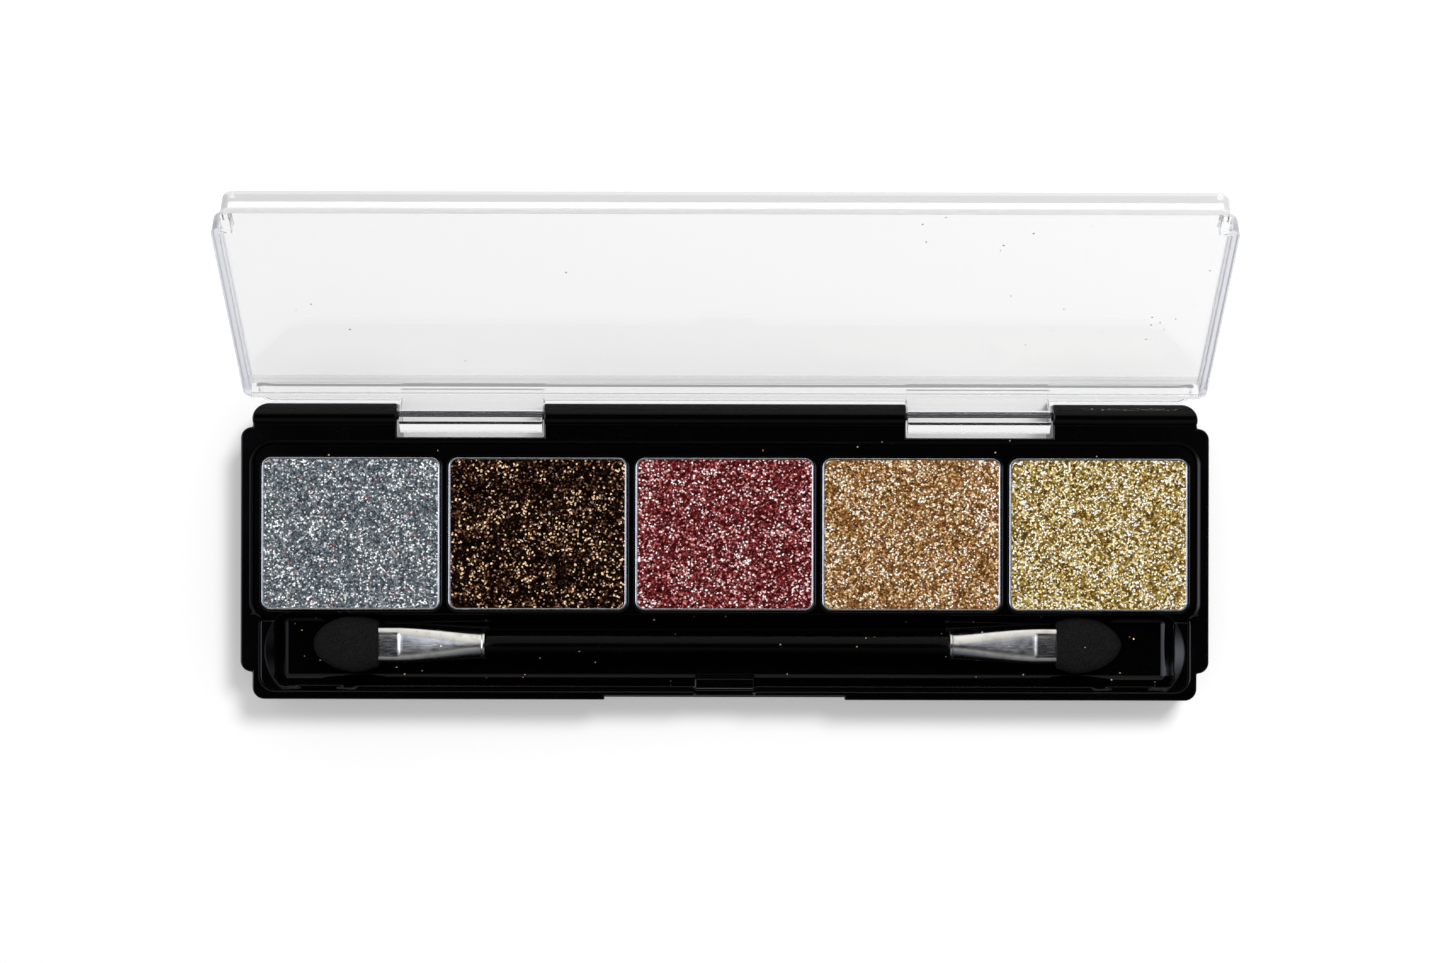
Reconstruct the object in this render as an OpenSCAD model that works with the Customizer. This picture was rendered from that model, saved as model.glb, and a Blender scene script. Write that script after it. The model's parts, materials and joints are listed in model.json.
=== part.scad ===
// Slim eyeshadow palette: a black tray with five shade pans, a double-ended
// sponge applicator in a trough, and a clear lid on two pinned hinge lugs.
// Millimetres. The origin is the centre of the underside, +X along the hinge,
// +Y towards the hinge, +Z up. The lid is drawn closed and then swung open.

/* [Shade pans] */
// Length of one pan along the hinge
pan_w = 22.3; // [21:0.1:24]
// Depth of one pan, front to back
pan_d = 19.1; // [17:0.1:21]
// Height of one pan
pan_h = 2.4; // [2:0.1:2.7]
// Thickness of the pan's sheet metal
pan_wall = 0.25; // [0.2:0.05:0.3]
// Corner radius of the pans
pan_r = 1.15; // [0.8:0.05:1.6]
// Web of the tray between two neighbouring pans
pan_gap = 1.1; // [1:0.1:2]
// How far the pan rims stand above the pan deck
rim_proud = 0.1; // [0.05:0.05:0.3]
// How far the pressed shadow lies below the pan rim
shadow_sink = 0.05; // [0:0.05:0.4]
// Thickness of the glue pad under each pan
glue_t = 0.15; // [0.1:0.05:0.3]
// Radius of the glue pad under each pan
glue_r = 5; // [3:0.5:7]

/* [Tray] */
// Thickness of the base shell's floor
floor_t = 1.1; // [0.9:0.1:1.6]
// Space between the floor and the underside of the trough
floor_gap = 0.6; // [0.4:0.1:1.2]
// Depth of the applicator trough below the land
trough_depth = 4.9; // [4.8:0.1:5.6]
// Drop from the land to the pan deck
deck_drop = 0.6; // [0.4:0.1:0.8]
// Thickness of the insert's deck and floors
insert_t = 0.9; // [0.8:0.05:1.1]
// Thickness of the insert's side walls
insert_wall = 0.6; // [0.5:0.05:0.65]
// Margin between the end pans and the sides of the recess
side_margin = 1.05; // [1:0.05:1.6]
// Margin between the pans and the rear of the recess
rear_margin = 1.65; // [1.4:0.05:2.4]
// How far the recess reaches in front of the pans
front_margin = 1.25; // [1.1:0.05:1.8]
// Web between the pans and the trough
trough_web = 0.6; // [0.5:0.05:0.9]
// Front to back size of the trough
trough_d = 8.8; // [8:0.05:9.4]
// How far the trough's ends lie inside the sides of the recess
trough_inset = 2.8; // [2.6:0.1:3.4]
// Thickness of the insert's walls at the trough's ends
end_wall = 1.8; // [1.6:0.1:2]
// Reach of the finger scoops beyond the trough's ends
scoop_reach = 1.2; // [0.6:0.1:1.3]
// Width of the finger scoops where they meet the trough
scoop_w = 7.6; // [6:0.2:7.8]
// Radius of the trough's corners and of its floor's edge
trough_r = 1.2; // [0.8:0.1:1.6]
// Corner radius of the recess that the insert sits in
recess_r = 2.4; // [1.8:0.1:3]
// Land beside the recess, on the wings
side_land = 1.5; // [1.4:0.1:2.2]
// Land in front of the trough
front_land = 1.75; // [1.75:0.05:2.4]
// Land between the recess and the hinge rail
rear_land = 2.6; // [2.4:0.1:3.6]
// How far the ends of the body lie inside the wings
wing_step = 1.5; // [1:0.1:2]
// How far the wings start behind the front face
wing_front = 3.4; // [3:0.1:6]
// How far the wings end in front of the hinge axis
wing_rear = 1.5; // [1.5:0.1:3]
// Radius of the body's rear corners
rear_r = 2; // [1.4:0.1:2.4]
// Radius of the body's front corners
front_r = 1.5; // [1.2:0.1:2]
// Radius of the wings' corners
wing_r = 1.4; // [0.6:0.1:1.4]
// Length of the finger notch in the front face
notch_w = 30; // [20:1:50]
// Depth of the finger notch in the front face
notch_d = 0.5; // [0.3:0.05:0.6]
// Height of the finger notch's floor above the underside
notch_z = 3; // [1:0.5:4]
// Radius of the posts that carry the insert
post_r = 1.2; // [0.8:0.1:1.6]

/* [Hinge] */
// Distance from the hinge axis to the rear face
axis_inset = 1.5; // [1.4:0.05:1.6]
// Depth of the hinge axis below the land
axis_drop = 1.5; // [1.4:0.05:1.6]
// Distance from the hinge axis to the rail's front face
rail_front = 1; // [0.8:0.1:1.2]
// Radius of the rail's rounded top about the hinge axis
rail_r = 2.05; // [1.9:0.05:2.05]
// Radius of the hinge pins
pin_r = 0.5; // [0.4:0.05:0.6]
// Radial clearance of the pins where the lid runs on them
pin_run = 0.05; // [0.02:0.01:0.1]
// Radial clearance of the pins where the rail holds them
pin_hold = 0.01; // [0.01:0.01:0.02]
// Depth of the pins' outer ends inside the rail's end faces
pin_recess = 1.2; // [0.4:0.1:3]
// Length of pin held in the rail beyond each lug
pin_grip = 3; // [2:0.5:6]
// Distance from the middle of the tray to the middle of each lug
lug_x = 31.8; // [26:0.1:38]
// Width of each lug
lug_w = 17.9; // [14:0.1:20]
// Gap between a lug and each side of its notch
lug_side_gap = 0.25; // [0.15:0.05:0.5]
// Reach of the lugs behind the hinge axis
lug_rear = 1.3; // [1.1:0.05:1.3]
// Reach of the lugs in front of the hinge axis
lug_front = 1; // [0.9:0.05:1.2]
// Reach of the lugs below the hinge axis
lug_drop = 1.8; // [1.4:0.05:1.9]
// Gap that the swinging lug keeps to the front of its notch
lug_swing_gap = 0.5; // [0.3:0.05:0.6]

/* [Lid] */
// Angle by which the lid is swung open
lid_open = 129; // [0:1:129]
// Thickness of the lid's panel
lid_t = 1.2; // [1:0.1:1.6]
// Thickness of the lid's walls
lid_wall = 1.05; // [0.9:0.05:1.05]
// Height of the walls' inner faces
lid_depth = 1.6; // [1.6:0.05:2.4]
// How far the lid's outline lies inside the tray's
lid_inset = 0.2; // [0.1:0.05:0.25]
// Gap between the land and the lip of the closed lid
lip_gap = 0.05; // [0.05:0.01:0.2]
// Length of the catch post and of the pocket in front of it
catch_w = 7.4; // [5:0.1:12]
// Height of the catch post above the land
catch_h = 1; // [0.8:0.05:1.2]
// Reach of the catch post into the trough
catch_reach = 1; // [0.6:0.1:1.2]
// Gap between the catch post and the lid's front wall
catch_gap = 0.3; // [0.3:0.05:0.4]
// Radius of the catch's snap bead
bead_r = 0.25; // [0.15:0.05:0.3]
// Reach of the snap bead in front of the post
bead_proud = 0.15; // [0.05:0.05:0.15]

/* [Applicator] */
// Distance from the middle of the tray to the middle of the applicator
stick_x = -0.9; // [-2:0.1:2]
// Length of the handle between the ferrules
handle_len = 58.3; // [50:0.1:60]
// Radius of the handle
handle_r = 1.7; // [1.5:0.05:1.9]
// Radius of the spigots that hold the ferrules
spigot_r = 1.35; // [1.1:0.05:1.4]
// Length of the spigots that hold the ferrules
spigot_len = 4; // [3:0.5:5]
// Length of a ferrule
ferrule_len = 13.4; // [12:0.1:14]
// Radius of a ferrule at the handle
ferrule_r = 1.85; // [1.8:0.05:2]
// Length of a ferrule's pressed mouth
crimp_len = 2.8; // [2:0.1:3.5]
// Width of a ferrule's pressed mouth
crimp_w = 4.7; // [4.2:0.1:5.2]
// Thickness of a ferrule's pressed mouth
crimp_t = 2.6; // [2.4:0.1:3]
// Length of a sponge tip in front of its ferrule
sponge_len = 8.3; // [7:0.1:8.8]
// Width of a sponge tip
sponge_w = 7.2; // [6.4:0.1:7.4]
// Thickness of a sponge tip
sponge_t = 4.4; // [3.8:0.1:4.6]
// Radius of the stem inside a ferrule and its sponge
stem_r = 0.8; // [0.6:0.05:0.9]
// Length of stem inside the sponge
stem_reach = 5; // [4:0.1:5.5]
// Gap between a sponge and the trough's rear wall
sponge_side_gap = 0.15; // [0.1:0.05:0.6]
// Gap between a sponge and the trough's floor
sponge_rest_gap = 0.1; // [0.05:0.05:0.2]

/* [Hidden] */
$fn = 64;
facet_fn = 32;
cut = 1;
fit = 0.05;
press = 0.01;

shades = ["silver", "brown", "rose", "bronze", "gold"];
shade_colours = [[0.72, 0.75, 0.77], [0.22, 0.17, 0.13], [0.68, 0.40, 0.42],
                 [0.62, 0.44, 0.28], [0.80, 0.66, 0.36]];
tray_colour = [0.03, 0.03, 0.035];
metal_colour = [0.78, 0.78, 0.79];

// Along the hinge
pan_pitch = pan_w + pan_gap;
pans_w = len(shades) * pan_pitch - pan_gap;
recess_half = pans_w / 2 + side_margin;
wing_half = recess_half + side_land;
body_half = wing_half - wing_step;
trough_half = recess_half - trough_inset;

// Front to back, set out from the middle of the body
body_d = axis_inset + rail_front + rear_land + rear_margin + pan_d
       + trough_web + trough_d + front_land;
y_rear = body_d / 2;
y_axis = y_rear - axis_inset;
y_rail = y_axis - rail_front;
y_recess = y_rail - rear_land;
y_pans_rear = y_recess - rear_margin;
y_pans_front = y_pans_rear - pan_d;
y_pans = y_pans_rear - pan_d / 2;
y_recess_front = y_pans_front - front_margin;
y_trough_rear = y_pans_front - trough_web;
y_trough_front = y_trough_rear - trough_d;
y_trough = y_trough_rear - trough_d / 2;
y_front = -y_rear;
y_wing_front = y_front + wing_front;
y_wing_rear = y_axis - wing_rear;
y_notch = y_axis - norm([lug_rear, lug_drop]) - lug_swing_gap;

// Upwards from the underside
z_trough = floor_t + floor_gap + insert_t;
z_land = z_trough + trough_depth;
z_deck = z_land - deck_drop;
z_ledge = z_deck - insert_t;
z_axis = z_land - axis_drop;
z_pan = z_deck + rim_proud - pan_h;
z_pocket = z_pan - glue_t;
z_lip = z_land + lip_gap;
z_panel = z_lip + lid_depth;
z_stick = z_trough + sponge_rest_gap + sponge_t / 2;
y_stick = y_trough_rear - sponge_side_gap - sponge_w / 2;

// The insert's outline, and the shell's hollow around it
pocket_gap = 0.1;
insert_half = pans_w / 2 + pocket_gap + insert_wall;
insert_rear = y_pans_rear + pocket_gap + insert_wall;
insert_r = pan_r + pocket_gap + insert_wall;
rim_front = y_trough_front - insert_wall;
rim_half = trough_half + end_wall;
rim_r = trough_r + insert_wall;
scoop_r = (scoop_w * scoop_w / 4 + scoop_reach * scoop_reach) / (2 * scoop_reach);
scoop_x = trough_half + scoop_reach - scoop_r;
post_x = pan_pitch * (len(shades) - 2) / 2;
trough_post_x = trough_half * 0.8;

// The catch, whose post stands behind the closed lid's front wall
lid_front = y_front + lid_inset;
lid_inner_front = lid_front + lid_wall;
post_front = lid_inner_front + catch_gap;
post_rear = y_trough_front + catch_reach;
bead_z = z_land + catch_h * 0.55;
bead_y = post_front - bead_proud + bead_r;
groove_extra = 0.15;

// A rectangle about x = 0 from y0 to y1, its front and rear corners rounded by rf and rr
module rounded(half, y0, y1, rf, rr) {
    translate([-half + rf, y0]) square([2 * (half - rf), rf]);
    translate([-half, y0 + rf]) square([2 * half, y1 - y0 - rf - rr]);
    translate([-half + rr, y1 - rr]) square([2 * (half - rr), rr]);
    for (s = [-1, 1]) {
        translate([s * (half - rf), y0 + rf]) circle(rf);
        translate([s * (half - rr), y1 - rr]) circle(rr);
    }
}

// A slab from z0 to z1 with the outline given as a child
module slab(z0, z1) {
    translate([0, 0, z0]) linear_extrude(z1 - z0) children();
}

module along_x(x0, x1, r) {
    translate([x0, 0, 0]) rotate([0, 90, 0]) cylinder(r = r, h = x1 - x0);
}

// The stepped outline of body and wings, drawn in by an inset
module stepped_outline(inset, wing_rear_y) {
    rounded(body_half - inset, y_front + inset, y_rear - inset, front_r, rear_r);
    rounded(wing_half - inset, y_wing_front + inset, wing_rear_y, wing_r, wing_r);
}

module pan_outline(shrink) {
    r = max(pan_r - shrink, 0.1);
    rounded(pan_w / 2 - shrink, y_pans_front + shrink, y_pans_rear - shrink, r, r);
}

module at_pan(i) {
    translate([(i - (len(shades) - 1) / 2) * pan_pitch, 0, 0]) children();
}

module at_lugs() {
    for (s = [-1, 1]) translate([s * lug_x, 0, 0]) children();
}

module rail_block() {
    translate([-wing_half - cut, y_rail, z_axis])
        cube([2 * (wing_half + cut), y_rear - y_rail + cut, rail_r + cut]);
}

module support_posts() {
    for (x = [-post_x, -pan_pitch / 2, pan_pitch / 2, post_x])
        translate([x, y_pans, floor_t - fit]) cylinder(r = post_r, h = z_pocket - insert_t - floor_t + fit);
    for (x = [-trough_post_x, 0, trough_post_x])
        translate([x, y_trough, floor_t - fit]) cylinder(r = post_r, h = floor_gap + fit);
}

module base_shell() {
    color(tray_colour) difference() {
        union() {
            difference() {
                slab(0, z_land) stepped_outline(0, y_wing_rear);
                rail_block();
                slab(floor_t, z_ledge + fit) {
                    pan_block_outline(fit);
                    trough_block_outline(fit);
                }
                slab(z_ledge, z_land + cut) {
                    rounded(recess_half, y_recess_front, y_recess, recess_r, recess_r);
                    rim_outline(fit);
                }
            }
            intersection() {
                translate([0, y_axis, z_axis]) along_x(-body_half, body_half, rail_r);
                slab(z_axis, z_axis + 2 * rail_r) stepped_outline(0, y_wing_rear);
                rail_block();
            }
            support_posts();
        }
        at_lugs() translate([-lug_w / 2 - lug_side_gap, y_notch, -cut])
            cube([lug_w + 2 * lug_side_gap, y_rear - y_notch + cut, z_axis + rail_r + 2 * cut]);
        for (s = [0, 1]) mirror([s, 0, 0]) translate([0, y_axis, z_axis])
            along_x(lug_x - lug_w / 2 - pin_grip - press, body_half + cut, pin_r + pin_hold);
        translate([-notch_w / 2, y_front - cut, notch_z])
            cube([notch_w, notch_d + cut, z_land - notch_z + cut]);
        translate([-catch_w / 2, y_front - cut, z_land - notch_d])
            cube([catch_w, front_land - insert_wall + cut, notch_d + cut]);
    }
}

// The insert's outlines under its deck, and its rim at the height of the land
module pan_block_outline(grow) {
    rounded(insert_half + grow, y_trough_rear - grow, insert_rear + grow, insert_r + grow, insert_r + grow);
}

module trough_block_outline(grow) {
    rounded(rim_half + grow, rim_front - grow, y_pans_front + grow, rim_r + grow, rim_r + grow);
}

module rim_outline(grow) {
    intersection() {
        trough_block_outline(grow);
        translate([-wing_half, y_front]) square([2 * wing_half, y_recess_front - fit + grow - y_front]);
    }
}

// A tub-shaped cutter with round corners and a round edge along its floor
module tub(half, y0, y1, r, z0, z1) {
    slab(z0 + r, z1) rounded(half, y0, y1, r, r);
    slab(z0, z0 + r + fit) translate([-half + r, y0 + r]) square([2 * (half - r), y1 - y0 - 2 * r]);
    for (y = [y0 + r, y1 - r]) translate([0, y, z0 + r]) along_x(-half + r, half - r, r);
    for (x = [-half + r, half - r]) {
        translate([x, y0 + r, z0 + r]) rotate([-90, 0, 0]) cylinder(r = r, h = y1 - y0 - 2 * r);
        for (y = [y0 + r, y1 - r]) translate([x, y, z0 + r]) sphere(r);
    }
}

module pan_insert() {
    color(tray_colour) union() {
        difference() {
            union() {
                slab(z_ledge, z_deck)
                    rounded(recess_half - fit, y_recess_front + fit, y_recess - fit, recess_r, recess_r);
                slab(z_pocket - insert_t, z_ledge) pan_block_outline(0);
                slab(z_trough - insert_t, z_ledge) trough_block_outline(0);
                slab(z_ledge, z_land) rim_outline(0);
                slab(z_ledge, z_deck) translate([-trough_half, y_recess_front - 2 * fit])
                    square([2 * trough_half, 4 * fit]);
            }
            for (s = [-1, 1]) translate([s * scoop_x, y_trough, z_land - scoop_reach]) {
                cylinder(r1 = scoop_r - scoop_reach, r2 = scoop_r, h = scoop_reach);
                translate([0, 0, scoop_reach]) cylinder(r = scoop_r, h = cut);
            }
            tub(trough_half, y_trough_front, y_trough_rear, trough_r, z_trough, z_land + cut);
            for (i = [0:len(shades) - 1]) at_pan(i)
                slab(z_pocket, z_land + cut) pan_outline(-pocket_gap);
        }
        translate([-catch_w / 2, post_front, z_trough - fit])
            cube([catch_w, post_rear - post_front, z_land + catch_h - z_trough + fit]);
        translate([0, bead_y, bead_z]) along_x(-catch_w / 2, catch_w / 2, bead_r);
    }
}

module pan(i) {
    color(metal_colour) at_pan(i) difference() {
        slab(z_pan, z_pan + pan_h) pan_outline(0);
        slab(z_pan + pan_wall, z_pan + pan_h + cut) pan_outline(pan_wall);
    }
}

module shadow(i) {
    color(shade_colours[i]) at_pan(i)
        slab(z_pan + pan_wall, z_pan + pan_h - shadow_sink) pan_outline(pan_wall + press);
}

module pan_adhesive() {
    color([0.85, 0.84, 0.78]) for (i = [0:len(shades) - 1]) at_pan(i)
        translate([0, y_pans, z_pocket]) cylinder(r = glue_r, h = glue_t);
}

module hinge_pin(s) {
    color(metal_colour) mirror([s < 0 ? 1 : 0, 0, 0]) translate([0, y_axis, z_axis])
        along_x(lug_x - lug_w / 2 - pin_grip, body_half - pin_recess, pin_r);
}

module lid_inner_outline() {
    y_inner_rear = y_wing_rear - lid_wall;
    rounded(body_half - lid_inset - lid_wall, lid_inner_front, y_inner_rear, fit, fit);
    rounded(wing_half - lid_inset - lid_wall, y_wing_front + lid_inset + lid_wall, y_inner_rear, fit, fit);
}

module closed_lid() {
    difference() {
        union() {
            slab(z_panel, z_panel + lid_t) stepped_outline(lid_inset, y_wing_rear);
            difference() {
                slab(z_lip, z_panel + fit) intersection() {
                    stepped_outline(lid_inset, y_wing_rear);
                    translate([-wing_half, y_front]) square([2 * wing_half, y_wing_rear - y_front]);
                }
                slab(z_lip - cut, z_panel) lid_inner_outline();
            }
            at_lugs() translate([-lug_w / 2, y_axis - lug_front, z_axis - lug_drop])
                cube([lug_w, lug_front + lug_rear, z_panel + fit - z_axis + lug_drop]);
        }
        at_lugs() translate([0, y_axis, z_axis]) along_x(-lug_w / 2 - cut, lug_w / 2 + cut, pin_r + pin_run);
        translate([0, lid_inner_front + bead_r - groove_extra, bead_z])
            along_x(-catch_w / 2 - groove_extra, catch_w / 2 + groove_extra, bead_r);
    }
}

module lid() {
    color([0.93, 0.94, 0.96, 0.35])
        translate([0, y_axis, z_axis]) rotate([-lid_open, 0, 0]) translate([0, -y_axis, -z_axis])
            closed_lid();
}

// Places the right-hand end, drawn along +X from its handle joint, at the side given by s
module at_stick_end(s) {
    translate([stick_x, y_stick, z_stick]) mirror([s < 0 ? 1 : 0, 0, 0])
        translate([handle_len / 2, 0, 0]) children();
}

module applicator_handle() {
    color(tray_colour) translate([stick_x, y_stick, z_stick]) {
        along_x(-handle_len / 2, handle_len / 2, handle_r);
        along_x(-handle_len / 2 - spigot_len, handle_len / 2 + spigot_len, spigot_r);
    }
}

module ferrule(s) {
    color(metal_colour) at_stick_end(s) difference() {
        union() {
            hull() {
                along_x(0, crimp_len, ferrule_r, $fn = facet_fn);
                crimp(ferrule_len - crimp_len - press);
            }
            crimp(ferrule_len - crimp_len);
            along_x(0, 0.4, ferrule_r + 0.1);
        }
        along_x(-cut, spigot_len, spigot_r + press);
        along_x(-cut, ferrule_len + cut, stem_r + press);
    }
}

// The flat mouth of a ferrule, from x onward
module crimp(x) {
    r = crimp_t / 2;
    translate([x, 0, 0]) {
        for (y = [-1, 1]) translate([0, y * (crimp_w / 2 - r), 0]) along_x(0, crimp_len, r, $fn = facet_fn);
        translate([0, r - crimp_w / 2, -r]) cube([crimp_len, crimp_w - crimp_t, crimp_t]);
    }
}

module tip_core(s) {
    color([0.85, 0.85, 0.83]) at_stick_end(s) {
        along_x(spigot_len, ferrule_len + stem_reach, stem_r);
        translate([ferrule_len + stem_reach, 0, 0]) sphere(stem_r);
    }
}

// A bullet-shaped pad: spheres along an elliptical arc, with thinner ones at the tip
module sponge_tip(s) {
    steps = 8;
    back = 1.2;
    color([0.07, 0.07, 0.075]) at_stick_end(s) translate([ferrule_len, 0, 0]) difference() {
        hull() for (i = [0:steps]) {
            a = -90 + 180 * i / steps;
            r = sponge_t / 2 * (1 - 0.3 * cos(a));
            translate([back + (sponge_len - back - r) * cos(a), (sponge_w / 2 - r) * sin(a), 0])
                sphere(r, $fn = facet_fn);
        }
        translate([-sponge_len, -sponge_w, -sponge_w]) cube([sponge_len, 2 * sponge_w, 2 * sponge_w]);
        along_x(-cut, stem_reach, stem_r + press);
        translate([stem_reach, 0, 0]) sphere(stem_r + press);
    }
}

base_shell();
pan_insert();
for (i = [0:len(shades) - 1]) {
    pan(i);
    shadow(i);
}
pan_adhesive();
hinge_pin(-1);  // hinge_pin_left
hinge_pin(1);  // hinge_pin_right
lid();
applicator_handle();
ferrule(-1);  // ferrule_left
ferrule(1);  // ferrule_right
tip_core(-1);  // tip_core_left
tip_core(1);  // tip_core_right
sponge_tip(-1);  // sponge_tip_left
sponge_tip(1);  // sponge_tip_right
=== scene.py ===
"""Looks of the eyeshadow palette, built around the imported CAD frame.

Lengths are in metres unless a name ends in _mm or a comment says mm. The scales of noise and cells are
repeats per metre.
"""
import json
import math

import bmesh
import bpy
import numpy as np
from mathutils import Matrix, Vector
from mathutils.bvhtree import BVHTree
from mathutils.geometry import intersect_line_line_2d


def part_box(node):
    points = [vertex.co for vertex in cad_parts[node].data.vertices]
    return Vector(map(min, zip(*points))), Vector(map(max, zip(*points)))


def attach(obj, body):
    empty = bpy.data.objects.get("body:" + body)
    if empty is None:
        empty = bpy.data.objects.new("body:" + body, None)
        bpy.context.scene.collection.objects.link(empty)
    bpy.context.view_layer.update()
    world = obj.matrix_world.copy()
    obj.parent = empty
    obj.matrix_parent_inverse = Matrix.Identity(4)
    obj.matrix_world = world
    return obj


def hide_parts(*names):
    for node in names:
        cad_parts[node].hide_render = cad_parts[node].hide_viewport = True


MM = 0.001
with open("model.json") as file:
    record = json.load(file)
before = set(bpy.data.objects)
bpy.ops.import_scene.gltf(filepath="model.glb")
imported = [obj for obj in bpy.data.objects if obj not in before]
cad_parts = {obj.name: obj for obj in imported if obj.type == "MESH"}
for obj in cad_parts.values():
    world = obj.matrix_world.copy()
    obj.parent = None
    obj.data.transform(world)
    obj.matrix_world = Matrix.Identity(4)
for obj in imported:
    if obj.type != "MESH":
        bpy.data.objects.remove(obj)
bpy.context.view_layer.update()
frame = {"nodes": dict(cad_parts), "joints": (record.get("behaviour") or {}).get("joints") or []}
nodes = frame["nodes"]
hinge = next(j for j in frame["joints"] if j["name"] == "lid_hinge")
hinge_axis = Vector(hinge["pos_m"])
lid_open = math.radians(hinge["range_deg"][1])
shades = ("silver", "brown", "rose", "bronze", "gold")
scene = bpy.context.scene


# ---------------------------------------------------------------- shader helpers

# Sockets of the Mix node in its colour and float forms.
MIX_COLOUR_INPUTS = (0, 6, 7)
MIX_COLOUR_OUTPUT = 2
MIX_FLOAT_INPUTS = (0, 2, 3)


def material(name, **sockets):
    """A material whose Principled BSDF has the given constants, keyed by socket name with _ for a space."""
    made = bpy.data.materials.new(name)
    made.use_nodes = True
    bsdf = made.node_tree.nodes["Principled BSDF"]
    for key, value in sockets.items():
        bsdf.inputs[key.replace("_", " ")].default_value = value
    return made


def node(made, kind, inputs=None, **settings):
    """Adds a node to a material or world; inputs maps a socket's name or number to a value or an output."""
    tree = made.node_tree
    new = tree.nodes.new(kind)
    for key, value in settings.items():
        setattr(new, key, value)
    for key, value in (inputs or {}).items():
        if isinstance(value, bpy.types.NodeSocket):
            tree.links.new(value, new.inputs[key])
        else:
            new.inputs[key].default_value = value
    return new


def feed(made, socket, output):
    """Links an output to a socket of the material's Principled BSDF."""
    made.node_tree.links.new(output, made.node_tree.nodes["Principled BSDF"].inputs[socket])


def place(made):
    return node(made, "ShaderNodeTexCoord").outputs["Object"]


def noise(made, scale, detail=3.0, at=None):
    inputs = {"Vector": at or place(made), "Scale": scale, "Detail": detail}
    return node(made, "ShaderNodeTexNoise", inputs).outputs["Fac"]


def calc(made, operation, *values):
    """The output of a Math node whose inputs are numbers or outputs."""
    return node(made, "ShaderNodeMath", dict(enumerate(values)), operation=operation).outputs[0]


def remap(made, value, source, target=(0.0, 1.0)):
    """Maps a value from one range to another and holds it at both ends."""
    inputs = {"Value": value, "From Min": source[0], "From Max": source[1],
              "To Min": target[0], "To Max": target[1]}
    return node(made, "ShaderNodeMapRange", inputs).outputs["Result"]


def ramp(made, value, stops):
    """A colour ramp through (position, colour) stops."""
    made_ramp = node(made, "ShaderNodeValToRGB", {"Fac": value})
    elements = made_ramp.color_ramp.elements
    while len(elements) < len(stops):
        elements.new(1.0)
    for element, (position, colour) in zip(elements, stops):
        element.position = position
        element.color = (*colour, 1.0)
    return made_ramp.outputs["Color"]


def mix(made, factor, first, second, mode="MIX"):
    """Blends two colours, each given as three numbers or as an output."""
    mixed = node(made, "ShaderNodeMix", data_type="RGBA", blend_type=mode)
    for number, value in zip(MIX_COLOUR_INPUTS, (factor, first, second)):
        socket = mixed.inputs[number]
        if isinstance(value, bpy.types.NodeSocket):
            made.node_tree.links.new(value, socket)
        elif isinstance(value, (int, float)):
            socket.default_value = value
        else:
            socket.default_value = (*value, 1.0)
    return mixed.outputs[MIX_COLOUR_OUTPUT]


def bump(made, height, distance):
    """Lets a height from 0 to 1 stand for a relief of that distance."""
    bumped = node(made, "ShaderNodeBump", {"Height": height, "Distance": distance})
    feed(made, "Normal", bumped.outputs["Normal"])


def shifted(span, by):
    return (span[0] + by, span[1] + by)


# ---------------------------------------------------------------- plastic, metal and foam

BLACK = (0.0006, 0.0006, 0.0007)
DUST = (0.012, 0.012, 0.0125)
SMUDGE_SCALE = 140.0
SMUDGED_ROUGHNESS = 1.9
SPECK_SCALE = 9000.0
DUST_PATCH_SCALE = 260.0
PEEL_SCALE = 900.0
PEEL_DEPTH = 0.004 * MM


def black_plastic(name, roughness, gloss):
    """Glossy moulded black with faint smudges, fine dust and a very slight orange peel."""
    made = material(name, IOR=1.5, Specular_IOR_Level=gloss)
    smudge = noise(made, SMUDGE_SCALE, 4.0)
    feed(made, "Roughness", remap(made, smudge, (0.35, 0.7), (roughness, roughness * SMUDGED_ROUGHNESS)))
    specks = remap(made, noise(made, SPECK_SCALE, 1.0), (0.66, 0.74))
    patches = remap(made, noise(made, DUST_PATCH_SCALE, 2.0), (0.45, 0.65))
    feed(made, "Base Color", mix(made, calc(made, "MULTIPLY", specks, patches), BLACK, DUST))
    bump(made, noise(made, PEEL_SCALE, 2.0), PEEL_DEPTH)
    return made


SCRATCH_SCALE = 7000.0
SCRATCH_STRETCH = (0.12, 1.0, 1.0)
SCRATCHED_ROUGHNESS = 2.0
STAIN_SCALE = 700.0
STAINED_LEVEL = 0.72


def bare_metal(name, colour, roughness, scratch_depth):
    """Satin sheet metal with fine scratches along x and small stains."""
    made = material(name, Metallic=1.0, IOR=1.45)
    stretch = node(made, "ShaderNodeMapping", {"Vector": place(made), "Scale": SCRATCH_STRETCH})
    lines = noise(made, SCRATCH_SCALE, 3.0, stretch.outputs["Vector"])
    stains = remap(made, noise(made, STAIN_SCALE, 4.0), (0.45, 0.75))
    feed(made, "Roughness", remap(made, lines, (0.3, 0.75), (roughness, roughness * SCRATCHED_ROUGHNESS)))
    feed(made, "Base Color", mix(made, stains, colour, tuple(channel * STAINED_LEVEL for channel in colour)))
    bump(made, lines, scratch_depth)
    return made


PORE_SCALE = 5200.0
PORE_GRAIN_SCALE = 9000.0
PORE_DEPTH = 0.09 * MM
FOAM_PORE_SHADE_COLOURS = ((0.0, (0.0022, 0.0022, 0.0023)), (0.25, (0.0048, 0.0048, 0.005)),
               (0.6, (0.0125, 0.0125, 0.0128)))


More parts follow.
